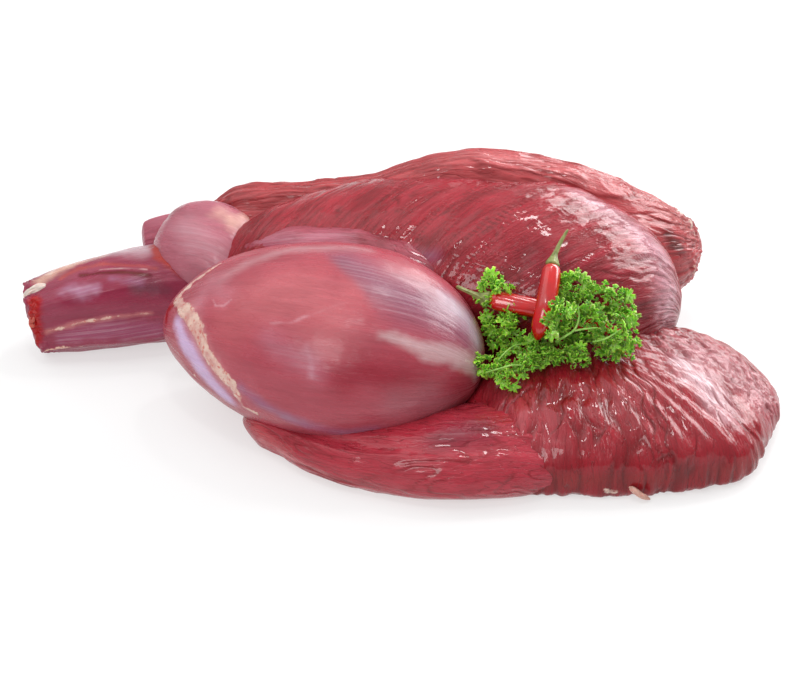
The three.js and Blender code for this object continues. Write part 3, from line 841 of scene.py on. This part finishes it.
slab = {
    "centre": [85, 92],
    "outline": [
        [202, 84], [196, 110], [178, 134], [140, 146], [90, 148], [46, 130], [24, 92], [22, 48], [48, 13],
        [84, 9], [122, 10], [154, 15], [178, 24], [193, 52],
    ],
    "crown": 48, "rim": 8, "under": 16,
    "squares": [2.2, 2.1, 2, 2, 2, 1.9, 1.9, 2, 2.4, 2.9, 3.1, 3, 2.7, 2.4], "slope": 0.15, "folds": 24,
    "foldDepth": 1.6, "lump": 1.2, "upperShare": 0.85, "fan": [79, 190], "fanReach": 140, "mesh": [620, 155],
    "seed": 97, "swell": 0.9, "filmCalm": 0.3, "layers": [[15, 70, 0.34, 0.8, 5, 9, 0.6]],
    "grooves": [[7, 60, 0.9, 0.14, 6, 4, 0.9, 0.6], [3.4, 30, 0.25, 0.2, 3, 5, 0.4, 0.5]],
    "base": (164, 54, 62),
    "patches": [
        # Painted glare: a pale pink highlight on the right of the slab, with the next stroke as its paler
        # core.
        stroke((218, 160, 168), [[158, 93, 42, 14], [176, 81, 37, 14], [191, 71, 27, 12]],
            soft=18, ragged=3, share=0.75),
        stroke((232, 200, 208), [[146, 76, 43, 5], [156, 62, 42, 9], [168, 44, 34, 7]],
            soft=9, ragged=5, share=0.75),
        stroke((182, 78, 86), [[52, 50, 42, 8], [60, 36, 38, 8], [72, 20, 30, 8]], soft=10, share=0.8),
        stroke((190, 112, 118), [[132, 105, 50, 6], [178, 124, 29, 6]], soft=12, share=0.3),
        wetAt(0.9, [[136, 112, 48, 8], [160, 96, 42, 16], [178, 80, 36, 18], [192, 66, 24, 14]], soft=14),
        wetAt(0.2, [[60, 50, 44, 8], [100, 40, 42, 8], [150, 50, 42, 8]], soft=12, ragged=5),
        fatAt(0.3, [[101, 10, 7, 0.2], [108, 8, 5, 0.9], [116, 7, 6, 1.3], [124, 7, 5, 1.5],
            [133, 8, 4, 0.3]]),
        # Painted shade: the low front wall is darker.
        stroke((142, 30, 40), [[60, 12, 12], [110, 6, 12], [160, 12, 12], [190, 40, 12]],
            reach=8, soft=8, share=0.6),
        fatAt(0.1, [[186, 118, 26, 0.2], [197, 100, 24, 0.5], [202, 84, 22, 0.3], [198, 62, 18, 0.2],
            [190, 44, 12, -0.2]]),
    ],
    "ragged": {"to": 9, "depth": 1.4, "pleat": 1.6},
}
buildMeat("slab", slab, muscle)
print("muscles built")


def gloss(name, base, second, rough, coat, scale):
    material, tree, shader = newMaterial(name)
    mottle = noise(objectPlace(tree), scale, 3)
    first, other = ((*linearColour(colour), 1) for colour in (base, second))
    setInputs(shader, {
        "Base Color": mixColours(mottle.ranged(0.35, 0.65, 0, 1), first, other),
        "Roughness": mottle.ranged(0.3, 0.7, rough, rough + 0.12), "Coat Weight": coat,
        "Coat Roughness": 0.06,
    })
    addBump(mottle, shader, 0.15, 0.0006)
    soften(shader, 0.08, (1, 0.3, 0.2), 0.002)
    return material


podSkin = gloss("chilliSkin", (196, 10, 14), (170, 4, 10), 0.16, 0.5, 90)
stalkSkin = gloss("stalkSkin", (150, 156, 96), (104, 112, 50), 0.42, 0.1, 300)
pods = {
    "chilliUpright": {
        "node": "chilli_upright",
        "stations": [
            [78, 98, 88.5, 4.7, 4.7], [76.5, 88, 84, 5.4, 5.3], [73.5, 75, 76, 5.3, 5.2],
            [71, 70, 68, 4.5, 4.5], [69.5, 69, 60, 3.4, 3.4],
        ],
        "ends": [0.12, 0.26], "lump": 0.25,
    },
    "chilliLevel": {
        "node": "chilli_level",
        "stations": [
            [44, 90, 72, 4.9, 4.9], [58, 87, 71, 5.3, 5.2], [72, 84.5, 69, 5.1, 5], [86, 82, 66, 4.7, 4.6],
            [101, 80, 62, 4, 3.9], [119, 78, 57, 2.8, 2.8],
        ],
        "ends": [0.08, 0.3], "lump": 0.3,
    },
}
stalks = {
    "stalkUpright": {
        "node": "chilli_stalk_upright",
        "stations": [
            [77.8, 97, 88, 4.4, 4.3], [78.5, 99.8, 89.6, 3, 3], [79.8, 103.6, 92, 1.3, 1.3],
            [83.4, 110, 96.6, 0.9, 0.9], [87, 115, 100.5, 0.6, 0.6],
        ],
        "ends": [0.14, 0.08],
    },
    "stalkLevel": {
        "node": "chilli_stalk_level",
        "stations": [
            [45.6, 89.8, 71.8, 4.9, 4.8], [42, 90.4, 72.5, 3.6, 3.6], [38.4, 91.5, 73.8, 1.5, 1.5],
            [33, 93, 75.6, 1, 1], [27.5, 95.5, 77, 0.9, 0.9],
        ],
        "ends": [0.14, 0.08],
    },
}


def podRelief(run, turn, grain):
    return 0.22 * noiseAt(grain / [9, 4, 4], 5) * smooth(np.minimum(run, 1 - run) / 0.1)


def stalkRelief(run, turn, grain):
    # Five ridges that fade towards both ends.
    return 0.28 * np.cos(5 * turn) * smooth(run / 0.12) * smooth((1 - run) / 0.05) * (1 - 0.6 * run)


def buildStrands(forms, around, along, relief, material):
    for name, form in forms.items():
        mesh, run, turn = ballMesh(name, around, along)
        points, grain = strandSurface(form, run, turn)
        setPlaces(mesh, points)
        if relief:
            setPlaces(mesh, points + relief(run, turn, grain)[:, None] * normalsOf(mesh))
        finishPiece(mesh, name, material, [form["node"]])


buildStrands(pods, 64, 70, podRelief, podSkin)
buildStrands(stalks, 40, 50, stalkRelief, stalkSkin)
print("chillies built")

tufts = [
    [46, 96, 78], [44, 91, 70], [51, 93, 76], [60, 85, 66], [54, 87, 66], [46, 87, 58], [50, 85, 50],
    [58, 83, 60], [55, 84, 50], [41, 62, 51], [47, 61, 46], [54, 54, 47], [62, 58, 50], [68, 63, 51],
    [53, 68, 48], [69, 75, 52], [78, 80, 53], [79, 65, 52], [87, 64, 52], [89, 76, 53], [64, 79, 51],
    [72, 65, 52], [80, 66, 79], [77, 63, 74], [84, 91, 79], [90, 93, 80], [98, 91, 77], [86, 86, 74],
    [94, 87, 73], [97, 75, 72], [106, 91, 73], [113, 93, 71], [118, 90, 63], [110, 87, 65], [114, 72, 66],
    [101, 72, 66], [117, 69, 59], [114, 72, 51], [106, 68, 52], [101, 75, 53], [95, 79, 54], [90, 73, 68],
    [85, 74, 70], [83, 71, 65], [107, 69, 61], [92, 65, 52],
]
# Colours of a leaf's inner and outer parts and of the points of its teeth, the last a painted highlight.
leaves = {
    "fan": {
        "around": 21, "rings": 4, "perTuft": 5, "length": 8.6, "teeth": 7, "cut": 0.42, "spread": 2.2,
        "facing": 0.5, "inner": (182, 216, 112), "outer": (136, 212, 44), "tipHighlight": (206, 240, 84),
    },
    "curl": {
        "around": 15, "rings": 4, "perTuft": 26, "length": 3.9, "teeth": 5, "cut": 0.42, "spread": 6,
        "facing": 0.9, "inner": (50, 120, 18), "outer": (112, 196, 34), "tipHighlight": (210, 240, 84),
    },
}
leafThick = 0.2
chance = np.random.default_rng(7)


def leafSurface(run, turn, kind, length, phase):
    # A fan of pointed teeth, ruffled and cupped, thin as a leaf.
    polar = run * np.pi
    reach = np.sin(polar)
    tooth = np.cos(kind["teeth"] * turn)
    stem = 1 - 0.8 * np.exp(-((np.abs(turn) - np.pi) / 1.25) ** 2)
    radius = 0.55 * length * (1 - kind["cut"] * (1 - tooth) / 1.5) * stem
    forward = 0.4 * length + reach * radius * np.cos(turn)
    sideways = 1.15 * reach * radius * np.sin(turn)
    ruffle = 0.1 * reach ** 2 * np.sin(kind["teeth"] * turn + phase) + 0.08 * reach * np.sin(2 * turn + phase)
    rise = length * (ruffle + 0.16 * reach ** 2)
    skin = leafThick * np.cos(polar)
    return np.stack([forward, sideways, rise + skin], 1), reach, (tooth + 1) / 2


def buildParsley():
    root = np.array([82, 72, 44.0])
    places, colours = [], []
    everyLeaf = bmesh.new()
    for label, kind in leaves.items():
        single, run, turn = ballMesh(label, kind["around"], kind["rings"])
        for tuft in np.array(tufts, float):
            out = unit((tuft - root)[None])[0]
            for copy in range(kind["perTuft"]):
                everyLeaf.from_mesh(single)
                aim = chance.normal(size=3) + out * 0.5 + np.array([0, -0.4, 0.5])
                aim = aim / np.linalg.norm(aim)
                upward = chance.normal(size=3) * kind["facing"] + np.array([0, -0.85, 0.6])
                side = np.cross(upward, aim)
                side = side / np.linalg.norm(side)
                face = np.cross(aim, side)
                length = kind["length"] * chance.uniform(0.7, 1.15)
                shape, reach, tooth = leafSurface(run, turn, kind, length, chance.uniform(0, 6.3))
                depth = chance.uniform(0.15, 1)
                base = tuft + aim * kind["spread"] * depth
                places.append(base + shape @ np.array([aim, side, face]))
                # Painted light and shade: leaves further out of a tuft are lighter than those deep inside it,
                # and the tufts on the left catch more light.
                paintedLight = (0.4 * chance.uniform(0, 1) + 0.6 * depth) * (1.3 if tuft[0] < 62 else 1)
                parts = ("inner", "outer", "tipHighlight")
                inner, outer, tipHighlight = (linearColour(kind[part]) * (0.22 + paintedLight) for part in parts)
                shade = inner + smooth(reach / 0.75)[:, None] * (outer - inner)
                # The points of the teeth are painted pale as a highlight.
                tipHighlightShare = smooth((reach - 0.75) / 0.25) * tooth
                colours.append(shade + tipHighlightShare[:, None] * (tipHighlight - shade))
    mesh = bpy.data.meshes.new("parsleyLeaves")
    everyLeaf.to_mesh(mesh)
    everyLeaf.free()
    setPlaces(mesh, np.concatenate(places))
    addAttribute(mesh, "paint", "FLOAT_COLOR", np.concatenate(colours))
    material, tree, shader = newMaterial("parsleyLeaf")
    shade = noise(objectPlace(tree), 700, 2).ranged(0.3, 0.7, 0.8, 1.2)
    setInputs(shader, {
        "Base Color": scaledColour(attribute(tree, "paint", "Color"), shade), "Roughness": 0.38,
    })
    soften(shader, 0.3, (0.4, 1, 0.2), 0.0015)
    finishPiece(mesh, "parsleyLeaves", material, ["parsley"])


buildParsley()

stems = [
    [[82, 72, 48, 0.74], [66, 58, 49, 0.62], [50, 56, 47, 0.43]],
    [[66, 58, 49, 0.62], [56, 55, 50, 0.5], [44, 60, 49, 0.31]],
    [[82, 73, 49, 0.74], [62, 80, 55, 0.56], [50, 86, 58, 0.37]],
    [[80, 70, 60, 0.68], [78.6, 65.5, 67.8, 0.62], [74.8, 61.5, 78, 0.43], [71.7, 63, 83, 0.25]],
    [[79, 67, 66, 0.56], [80.5, 67.5, 73, 0.43], [84.8, 70.8, 76.5, 0.25]],
    [
        [79, 67, 60, 0.74], [83, 64, 65, 0.68], [88.5, 65.5, 68.5, 0.62], [91, 68.5, 74, 0.5],
        [90.5, 72.5, 80, 0.31],
    ],
    [[87.4, 65.5, 67.8, 0.56], [93.7, 65.5, 69, 0.5], [101, 65.5, 70, 0.31]],
    [[49, 60, 53, 0.56], [53, 62, 57, 0.5], [58, 67, 58, 0.37], [63, 70, 57, 0.25]],
    [[98, 64, 62, 0.56], [105, 62.5, 65, 0.5], [113, 65.5, 69, 0.31]],
    [[42, 50, 52, 0.31], [49, 49, 55, 0.5], [56, 51, 56, 0.5], [63, 54, 54, 0.25]],
]
stemSkin = gloss("stemSkin", (150, 196, 88), (120, 176, 66), 0.4, 0.1, 300)
sprigs = {
    "parsleyStem" + str(number + 1): {
        "node": "parsley", "stations": [[*place, place[3]] for place in path], "ends": [0.05, 0.1],
    }
    for number, path in enumerate(stems)
}
buildStrands(sprigs, 12, 30, None, stemSkin)
print("parsley built")

bpy.ops.mesh.primitive_plane_add(size=8, location=(0, 1, 0))
floor = bpy.context.object
floor.name = "floor"
floorMaterial, floorShader = newMaterial("floorWhite")[::2]
setInputs(floorShader, {
    "Base Color": (0.36, 0.36, 0.36, 1), "Emission Color": (1, 1, 1, 1), "Emission Strength": 0.58,
    "Roughness": 0.9, "Specular IOR Level": 0.1,
})
floor.data.materials.append(floorMaterial)

# Azimuth and elevation in degrees, distance, width and depth in metres, and watts.
lights = {
    "backRight": [42, 29, 1.3, 1.3, 0.6, 20],
    "frontLeft": [-114, 38, 1.4, 0.4, 0.5, 5],
    "topGlint": [60, 66, 1.3, 0.14, 0.14, 2],
    "nearGlint": [-100, 72, 1.3, 0.14, 0.14, 1.6],
    "topLeft": [160, 62, 1.4, 1.2, 1.2, 5],
}
lightTarget = Vector((0, 0, 0.04))
for name, (azimuth, elevation, distance, width, depth, watts) in lights.items():
    light = bpy.data.lights.new(name, "AREA")
    light.shape = "RECTANGLE"
    light.size, light.size_y, light.energy = width, depth, watts
    lamp = bpy.data.objects.new(name, light)
    turn, rise = math.radians(azimuth), math.radians(elevation)
    away = Vector((math.cos(turn) * math.cos(rise), math.sin(turn) * math.cos(rise), math.sin(rise)))
    lamp.location = away * distance + lightTarget
    lamp.rotation_mode = "QUATERNION"
    lamp.rotation_quaternion = away.to_track_quat("Z", "Y")
    scene.collection.objects.link(lamp)

world = bpy.data.worlds.new("studio")
world.use_nodes = True
sky = world.node_tree
dome = Wire(addNode(sky, "ShaderNodeTexCoord").outputs["Generated"])
level = Wire(addNode(sky, "ShaderNodeSeparateXYZ", {}, {0: dome}).outputs["Z"])
setInputs(sky.nodes["Background"], {"Strength": level.ranged(0, 0.9, 0.3, 0.8), "Color": (1, 1, 1, 1)})
scene.world = world

# The camera as found from the photo, whose width and focal length are in pixels.
photoWidth = 800
focalLength = 2590
camera = bpy.data.cameras.new("photoCamera")
camera.sensor_width = 36
camera.lens = focalLength * camera.sensor_width / photoWidth
camera.shift_x = -4 / photoWidth
camera.shift_y = -18.5 / photoWidth
camera.clip_start = 0.05
camera.clip_end = 20
view = bpy.data.objects.new("photoCamera", camera)
view.location = (0.004167, -1.190904, 0.781887)
view.rotation_euler = (math.radians(58), 0, 0)
scene.collection.objects.link(view)
scene.camera = view
scene.view_settings.view_transform = "Standard"
print("stage set")
